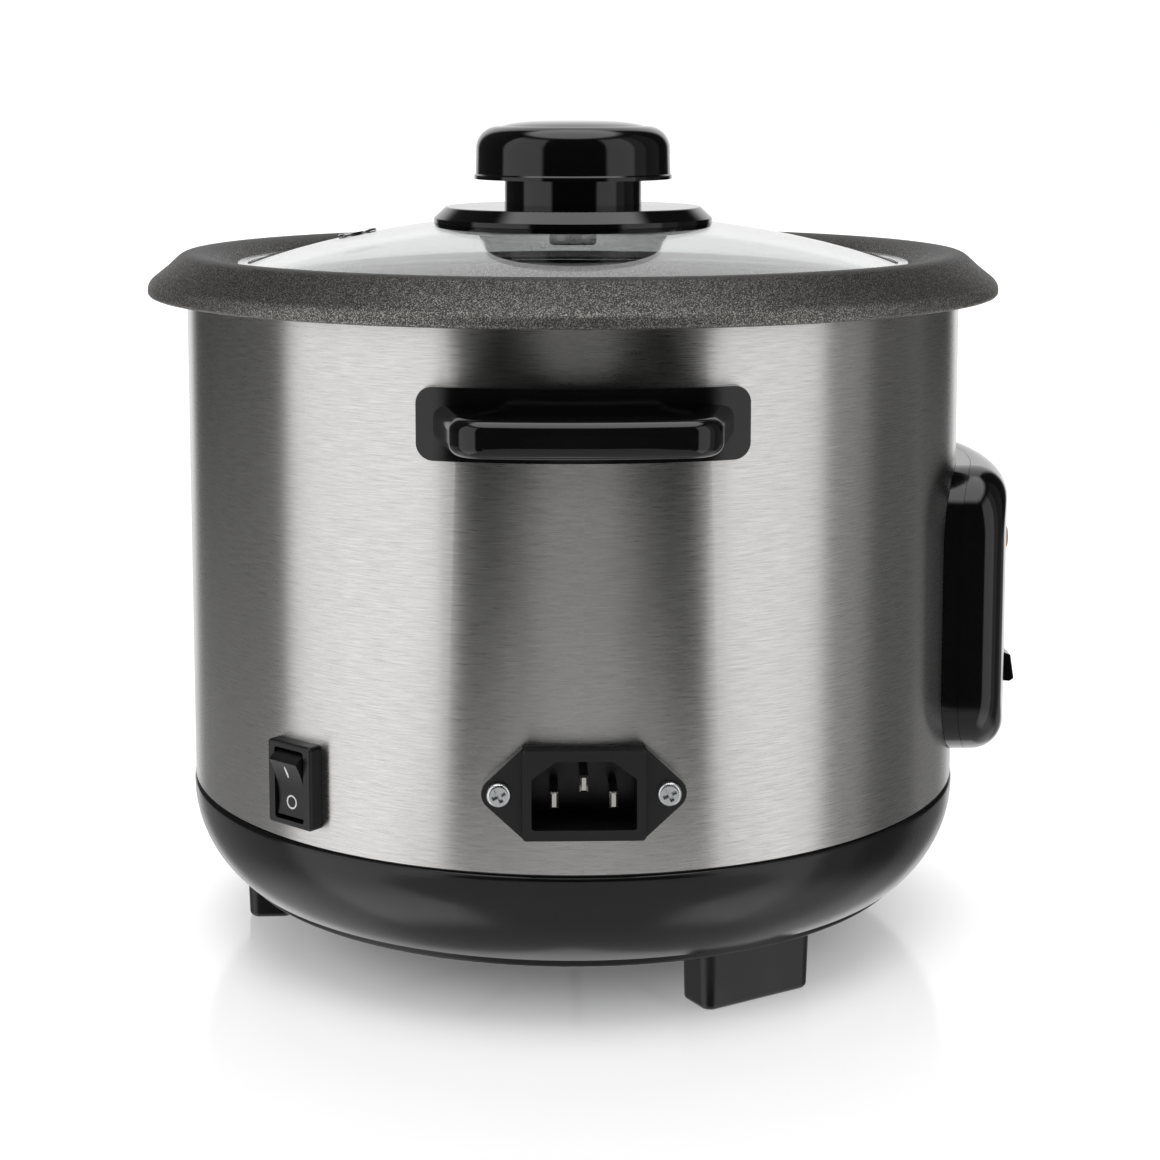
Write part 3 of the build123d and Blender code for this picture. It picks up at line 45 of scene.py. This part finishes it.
# ---------------------------------------------------------------- node helpers
class Graph:
    """Adds shader nodes to a tree in short calls."""

    def __init__(self, tree):
        self.tree = tree
        self.tree.nodes.clear()

    def node(self, kind, **fields):
        made = self.tree.nodes.new(kind)
        for name, value in fields.items():
            setattr(made, name, value)
        return made

    def put(self, socket, value):
        if isinstance(value, bpy.types.NodeSocket):
            self.tree.links.new(value, socket)
        elif isinstance(value, tuple) and socket.type == "RGBA" and len(value) == 3:
            socket.default_value = (*value, 1.0)
        else:
            socket.default_value = value

    def math(self, operation, *values, clamp=False):
        made = self.node("ShaderNodeMath", operation=operation, use_clamp=clamp)
        for socket, value in zip(made.inputs, values):
            self.put(socket, value)
        return made.outputs[0]

    def remap(self, value, low, high, to_low=0.0, to_high=1.0, smooth=False):
        kind = "SMOOTHSTEP" if smooth else "LINEAR"
        made = self.node("ShaderNodeMapRange", interpolation_type=kind)
        for socket, v in zip(made.inputs, (value, low, high, to_low, to_high)):
            self.put(socket, v)
        return made.outputs[0]

    def mix(self, factor, a, b):
        made = self.node("ShaderNodeMix", data_type="RGBA")
        self.put(made.inputs[0], factor)
        self.put(made.inputs[6], a)
        self.put(made.inputs[7], b)
        return made.outputs[2]

    def place(self):
        """The object's own coordinates in metres."""
        return self.node("ShaderNodeTexCoord").outputs["Object"]

    def parts_of(self, vector):
        split = self.node("ShaderNodeSeparateXYZ")
        self.put(split.inputs[0], vector)
        return split.outputs

    def around(self, around_scale, up_scale):
        """Coordinates that run round the cooker's axis and up it."""
        x, y, z = self.parts_of(self.place())
        turn = self.math("ARCTAN2", y, x)
        made = self.node("ShaderNodeCombineXYZ")
        self.put(made.inputs[0], self.math("MULTIPLY", turn, around_scale))
        self.put(made.inputs[1], self.math("MULTIPLY", z, up_scale))
        return made.outputs[0]

    def radius(self):
        """Distance from the axis in metres."""
        x, y, _ = self.parts_of(self.place())
        square = self.math("ADD", self.math("MULTIPLY", x, x), self.math("MULTIPLY", y, y))
        return self.math("SQRT", square)

    def rings(self, scale):
        """Coordinates that grow with the distance from the axis."""
        made = self.node("ShaderNodeCombineXYZ")
        self.put(made.inputs[0], self.math("MULTIPLY", self.radius(), scale))
        return made.outputs[0]

    def noise(self, where, scale=1.0, detail=3.0, roughness=0.5):
        made = self.node("ShaderNodeTexNoise")
        self.put(made.inputs["Vector"], where)
        made.inputs["Scale"].default_value = scale
        made.inputs["Detail"].default_value = detail
        made.inputs["Roughness"].default_value = roughness
        return made.outputs["Fac"]

    def cells(self, where, scale):
        made = self.node("ShaderNodeTexVoronoi", feature="F1")
        self.put(made.inputs["Vector"], where)
        made.inputs["Scale"].default_value = scale
        return made

    def bump(self, height, distance, strength=1.0, under=None):
        made = self.node("ShaderNodeBump")
        made.inputs["Strength"].default_value = strength
        made.inputs["Distance"].default_value = distance
        self.put(made.inputs["Height"], height)
        if under is not None:
            self.put(made.inputs["Normal"], under)
        return made.outputs[0]

    def finish(self, shader, kind="ShaderNodeOutputMaterial"):
        self.tree.links.new(shader.outputs[0], self.node(kind).inputs[0])

    def principled(self, **sockets):
        shader = self.node("ShaderNodeBsdfPrincipled")
        for name, value in sockets.items():
            self.put(shader.inputs[name.replace("_", " ")], value)
        self.finish(shader)


def material(name):
    made = bpy.data.materials.new("look_" + name)
    made.use_nodes = True
    return made, Graph(made.node_tree)


def tint(colour, share):
    return tuple(min(1.0, c * share) for c in colour)


def moulded(name, colour, roughness, grain, depth, spread=0.06, **sockets):
    """Moulded plastic: a fine surface grain, and gloss that varies slightly over the part."""
    made, g = material(name)
    patches = g.noise(g.place(), 90.0, 3.0)
    fine = g.noise(g.place(), grain, 2.0, 0.6)
    colour_out = g.mix(patches, tint(colour, 0.8), tint(colour, 1.25))
    gloss = g.remap(patches, 0.3, 0.7, roughness - spread, roughness + spread)
    g.principled(
        Base_Color=colour_out, Roughness=gloss, Normal=g.bump(fine, depth), **sockets
    )
    return made


def metal(name, colour, roughness, grain, depth, spread=0.08, **sockets):
    """Bare or plated metal: cloudy colour, uneven gloss and a fine tooled surface."""
    made, g = material(name)
    clouds = g.noise(g.place(), 160.0, 4.0, 0.6)
    fine = g.noise(g.place(), grain, 3.0, 0.65)
    colour_out = g.mix(clouds, tint(colour, 0.82), tint(colour, 1.1))
    gloss = g.remap(fine, 0.3, 0.7, max(0.03, roughness - spread), roughness + spread)
    g.principled(
        Base_Color=colour_out, Roughness=gloss, Metallic=1.0, Normal=g.bump(fine, depth), **sockets
    )
    return made


def brushed():
    """Stainless sheet brushed round the drum, so its reflections spread up and down."""
    made, g = material("brushed_steel")
    hair = g.noise(g.around(16.0, 6400.0), 1.0, 2.0, 0.7)
    strand = g.noise(g.around(11.0, 2700.0), 1.0, 3.0, 0.65)
    cloud = g.noise(g.around(4.0, 40.0), 1.0, 2.0)
    lines = g.math("ADD", g.math("MULTIPLY", hair, 0.6), g.math("MULTIPLY", strand, 0.4))
    colour = g.mix(g.remap(lines, 0.36, 0.64), (0.53, 0.52, 0.51), (0.79, 0.78, 0.77))
    uneven = g.math("ADD", g.math("MULTIPLY", lines, 0.8), g.math("MULTIPLY", cloud, 0.2))
    gloss = g.remap(uneven, 0.3, 0.7, 0.24, 0.33)
    tangent = g.node("ShaderNodeTangent", direction_type="RADIAL", axis="Z")
    g.principled(
        Base_Color=colour,
        Roughness=gloss,
        Metallic=1.0,
        Anisotropic=0.92,
        Anisotropic_Rotation=0.25,
        Tangent=tangent.outputs[0],
        Normal=g.bump(lines, 0.00001, 0.35),
    )
    return made


def coating():
    """Dark non-stick coating with fine metallic flecks, which lie densest on the rolled edge."""
    made, g = material("pot_coating")
    level = g.parts_of(g.node("ShaderNodeNewGeometry").outputs["Normal"])[2]
    flank = g.remap(level, 0.97, 0.75, smooth=True)
    edge = g.remap(level, 0.82, 0.45, smooth=True)
    cell = g.cells(g.place(), 5600.0)
    chance = g.node("ShaderNodeSeparateColor")
    g.put(chance.inputs[0], cell.outputs["Color"])
    density = g.remap(flank, 0.0, 1.0, 0.3, 1.0)
    fleck = g.math("MULTIPLY", g.remap(chance.outputs[0], 0.6, 1.0), density)
    mottle = g.noise(g.place(), 2300.0, 3.0, 0.6)
    ground = g.mix(mottle, (0.008, 0.007, 0.007), (0.020, 0.018, 0.017))
    worn = g.mix(edge, ground, (0.085, 0.081, 0.077))
    colour = g.mix(fleck, worn, g.mix(edge, (0.24, 0.23, 0.22), (0.56, 0.54, 0.51)))
    under = g.bump(mottle, 0.00002, 0.3)
    bare = g.remap(fleck, 0.0, 1.0, 0.0, 0.85)
    g.principled(
        Base_Color=colour,
        Roughness=g.remap(fleck, 0.0, 1.0, 0.5, 0.34),
        Metallic=g.math("MAXIMUM", bare, g.math("MULTIPLY", edge, 0.6)),
        Specular_IOR_Level=0.2,
        Normal=g.bump(chance.outputs[1], 0.00002, 0.35, under),
    )
    return made


def glass(name, colour, roughness=0.0, ior=1.5):
    made, g = material(name)
    smear = g.noise(g.place(), 60.0, 3.0)
    tone = g.mix(smear, tint(colour, 0.97), colour)
    g.principled(
        Base_Color=tone,
        Roughness=g.remap(smear, 0.3, 0.8, roughness, roughness + 0.02),
        Transmission_Weight=1.0,
        IOR=ior,
    )
    return made


def turned(name, colour, roughness, pitch, depth):
    """Metal faced on a lathe: fine rings about the axis."""
    made, g = material(name)
    ring = g.noise(g.rings(pitch), 1.0, 2.0, 0.6)
    cast = g.noise(g.place(), 700.0, 4.0, 0.65)
    both = g.math("ADD", g.math("MULTIPLY", ring, 0.6), g.math("MULTIPLY", cast, 0.4))
    g.principled(
        Base_Color=g.mix(both, tint(colour, 0.75), tint(colour, 1.15)),
        Roughness=g.remap(both, 0.3, 0.7, roughness - 0.08, roughness + 0.1),
        Metallic=1.0,
        Normal=g.bump(both, depth, 0.6),
    )
    return made


LOOKS = {
    "black_plastic": moulded("black_plastic", (0.0035, 0.0035, 0.0038), 0.09, 500.0, 0.000003,
                             0.02),
    "satin_plastic": moulded("satin_plastic", (0.006, 0.006, 0.0065), 0.34, 3200.0, 0.00002),
    "brushed_steel": brushed(),
    "polished_steel": metal("polished_steel", (0.72, 0.72, 0.73), 0.12, 1500.0, 0.000004, 0.05),
    "aluminised_steel": metal("aluminised_steel", (0.62, 0.63, 0.65), 0.36, 420.0, 0.00002),
    "cast_aluminium": turned("cast_aluminium", (0.7, 0.7, 0.71), 0.36, 2600.0, 0.00003),
    "zinc_steel": metal("zinc_steel", (0.82, 0.83, 0.84), 0.3, 900.0, 0.00001),
    "spring_steel": metal("spring_steel", (0.5, 0.5, 0.5), 0.3, 2200.0, 0.00001),
    "nickel": metal("nickel", (0.78, 0.76, 0.72), 0.2, 1800.0, 0.000006),
    "brass": metal("brass", (0.78, 0.6, 0.3), 0.28, 1200.0, 0.00001),
    "ceramic_body": moulded("ceramic_body", (0.72, 0.69, 0.62), 0.6, 1800.0, 0.00003),
    "fuse_sleeve": moulded("fuse_sleeve", (0.66, 0.63, 0.56), 0.55, 2600.0, 0.00006),
    "amber_lens": moulded("amber_lens", (0.75, 0.3, 0.03), 0.12, 500.0, 0.000004, 0.03,
                          Transmission_Weight=0.6, IOR=1.49),
    "red_lens": moulded("red_lens", (0.6, 0.03, 0.02), 0.12, 500.0, 0.000004, 0.03,
                        Transmission_Weight=0.6, IOR=1.49),
    "lamp_glass": glass("lamp_glass", (0.95, 0.93, 0.88), 0.04),
    "pot_coating": coating(),
    "lid_glass": glass("lid_glass", (0.97, 0.99, 0.98)),
    "ferrite": moulded("ferrite", (0.035, 0.035, 0.038), 0.5, 2600.0, 0.00004),
}

for node in nodes.values():
    for index, old in enumerate(node.data.materials):
        slot = old.name.split(".")[0]
        node.material_slots[index].link = "OBJECT"
        node.material_slots[index].material = LOOKS[slot]

# The base is a little less glossy than the other black mouldings.
base_look = moulded("base_plastic", (0.004, 0.004, 0.0043), 0.2, 700.0, 0.000003, 0.03)
nodes["base_shell"].material_slots[0].material = base_look


# ---------------------------------------------------------------- new pieces
def piece(name, verts, faces, look, body):
    mesh = bpy.data.meshes.new(name)
    mesh.from_pydata([tuple(v) for v in verts], [], faces)
    mesh.update()
    made = bpy.data.objects.new(name, mesh)
    scene.collection.objects.link(made)
    made.data.materials.append(look)
    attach(made, body)
    return made


# The rocker's two generic marks: thin raised strips that follow its curved face.
MARK_PROUD = 0.08 * MM
RAY_START = 130 * MM  # from the axis, outside the rocker
OFF_MARK_UP = -4.3 * MM
ON_MARK_UP = 3.6 * MM
rocker_mesh = nodes["switch_rocker"].data
rocker_tree = BVHTree.FromPolygons(
    [v.co for v in rocker_mesh.vertices], [p.vertices for p in rocker_mesh.polygons]
)
low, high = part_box("switch_rocker")
rocker_centre = (low + high) / 2
out = Vector((rocker_centre.x, rocker_centre.y, 0)).normalized()
side = Vector((-out.y, out.x, 0))
mark_look = moulded("mark_white", (0.8, 0.8, 0.79), 0.45, 1600.0, 0.00001)


def on_rocker(across, up, proud):
    sideways = across + rocker_centre.dot(side)
    start = Vector((0, 0, rocker_centre.z + up)) + out * RAY_START + side * sideways
    hit = rocker_tree.ray_cast(start, -out)[0]
    return hit + out * proud


def mark(name, outer, inner):
    """A strip between two outlines of the same count, raised off the rocker's face."""
    count = len(outer)
    verts = [on_rocker(a, b, MARK_PROUD) for a, b in outer + inner]
    verts += [on_rocker(a, b, -MARK_PROUD) for a, b in outer + inner]
    faces = []
    for i in range(count):
        j = (i + 1) % count
        top = (i, j, count + j, count + i)
        faces.append(top)
        faces.append(tuple(2 * count + k for k in reversed(top)))
        faces.append((j, i, 2 * count + i, 2 * count + j))
        faces.append((count + i, count + j, 3 * count + j, 3 * count + i))
    return piece(name, verts, faces, mark_look, "rocker")


def ring_outline(x, z, rx, rz, count=40):
    turns = [2 * math.pi * i / count for i in range(count)]
    return [(x + rx * math.cos(t), z + rz * math.sin(t)) for t in turns]


mark("rocker_mark_off", ring_outline(0, OFF_MARK_UP, 1.75 * MM, 1.75 * MM),
     ring_outline(0, OFF_MARK_UP, 1.35 * MM, 1.35 * MM))
mark("rocker_mark_on", ring_outline(0, ON_MARK_UP, 0.3 * MM, 1.6 * MM),
     ring_outline(0, ON_MARK_UP, 0.02 * MM, 1.3 * MM))


# ---------------------------------------------------------------- floor and backdrop
def stage_plane(name, x0, x1, y0, y1, z):
    mesh = bpy.data.meshes.new(name)
    mesh.from_pydata([(x0, y0, z), (x1, y0, z), (x1, y1, z), (x0, y1, z)], [], [(0, 1, 2, 3)])
    made = bpy.data.objects.new(name, mesh)
    scene.collection.objects.link(made)
    return made


FLOOR_HALF = 9.0
FLOOR_SHINE = 0.16
floor = stage_plane("floor", -FLOOR_HALF, FLOOR_HALF, -FLOOR_HALF, FLOOR_HALF, 0.0)
floor_look, g = material("floor")
diffuse = g.node("ShaderNodeBsdfDiffuse")
g.put(diffuse.inputs["Color"], (0.74, 0.74, 0.74))
sheen = g.node("ShaderNodeBsdfGlossy")
g.put(sheen.inputs["Color"], (1.0, 1.0, 1.0))
g.put(sheen.inputs["Roughness"], 0.12)
both = g.node("ShaderNodeMixShader")
g.put(both.inputs[0], FLOOR_SHINE)
g.tree.links.new(diffuse.outputs[0], both.inputs[1])
g.tree.links.new(sheen.outputs[0], both.inputs[2])
# A glow lifts the floor to white; the glow is weaker right under the cooker, which paints a darker
# shadow there.
glow_and_painted_shadow = g.node("ShaderNodeEmission")
g.put(glow_and_painted_shadow.inputs["Strength"], g.remap(g.radius(), 0.05, 0.115, 0.1, 0.56, smooth=True))
whole = g.node("ShaderNodeAddShader")
g.tree.links.new(both.outputs[0], whole.inputs[0])
g.tree.links.new(glow_and_painted_shadow.outputs[0], whole.inputs[1])
g.finish(whole)
floor.data.materials.append(floor_look)
floor.visible_glossy = False

# A soft card in front of the cooker, seen only in its reflections.
card = stage_plane("table_card", -0.95, -0.13, -0.12, 0.12, -0.002)
card_look, g = material("table_card")
glow = g.node("ShaderNodeEmission")
g.put(glow.inputs["Color"], (1.0, 1.0, 1.0))
g.put(glow.inputs["Strength"], 0.52)
g.finish(glow)
card.data.materials.append(card_look)
for ray in ("camera", "diffuse", "shadow", "transmission", "volume_scatter"):
    setattr(card, "visible_" + ray, False)

# ---------------------------------------------------------------- studio light all round
world = bpy.data.worlds.new("studio")
world.use_nodes = True
scene.world = world
g = Graph(world.node_tree)
dx, dy, dz = g.parts_of(g.node("ShaderNodeTexCoord").outputs["Generated"])
heading = g.math("ARCTAN2", g.math("MULTIPLY", dy, -1.0), g.math("MULTIPLY", dx, -1.0))
turn = g.math("ADD", g.math("MULTIPLY", heading, 180 / math.pi), VIEW_TURN)
rise = g.math("MULTIPLY", g.math("ARCSINE", dz), 180 / math.pi)


def window(value, low, high, soft):
    start = g.remap(value, low - soft, low + soft, smooth=True)
    end = g.remap(value, high - soft, high + soft, 1.0, 0.0, smooth=True)
    return g.math("MULTIPLY", start, end)


def area(strength, turns, rises, soft=3.0, soft_rise=6.0):
    shape = g.math("MULTIPLY", window(turn, *turns, soft), window(rise, *rises, soft_rise))
    return g.math("MULTIPLY", shape, strength)


# The headings are from the photographed side: 0 towards the camera, + to its right.
LIGHTS = [
    area(0.95, (40, 77), (-60, 50), 2.5),
    area(0.27, (77, 95), (-60, 50), 3),
    area(0.09, (95, 122), (-60, 50), 3),
    area(0.26, (122, 152), (-60, -10), 3),
    area(1.0, (152, 200), (-90, 60), 6),
    area(1.05, (-90, -36), (-60, 50), 2.5),
    area(0.03, (-152, -90), (-12, 50), 2),
    area(0.30, (-152, -90), (-60, -12), 2),
    area(1.0, (-200, -152), (-90, 60), 6),
    area(2.4, (-200, 200), (60, 100), 1, 5),
    area(0.45, (-200, 200), (-100, -36), 1, 8),
]
BASE_LIGHT = 0.02
total = BASE_LIGHT
for light in LIGHTS:
    total = g.math("ADD", light, total)
seen = g.node("ShaderNodeLightPath")
lit = g.math("MAXIMUM", total, seen.outputs["Is Camera Ray"])
background = g.node("ShaderNodeBackground")
g.put(background.inputs["Color"], lit)
g.finish(background, "ShaderNodeOutputWorld")

# ---------------------------------------------------------------- camera
EYE_DISTANCE = 0.6304
EYE_HEIGHT = 0.2237
EYE_PITCH = 6.71  # degrees below level
camera_data = bpy.data.cameras.new("camera")
camera_data.sensor_width = 36.0
camera_data.lens = 71.48
camera_data.shift_x = 7 / 1160
camera_data.shift_y = -0.18
camera_data.clip_start = 0.01
camera_data.clip_end = 50.0
camera = bpy.data.objects.new("camera", camera_data)
scene.collection.objects.link(camera)
heading = math.radians(180.0 - VIEW_TURN)
camera.location = (EYE_DISTANCE * math.cos(heading), EYE_DISTANCE * math.sin(heading), EYE_HEIGHT)
camera.rotation_euler = (math.radians(90.0 - EYE_PITCH), 0.0, heading + math.radians(90.0))
scene.camera = camera
scene.view_settings.view_transform = "Standard"
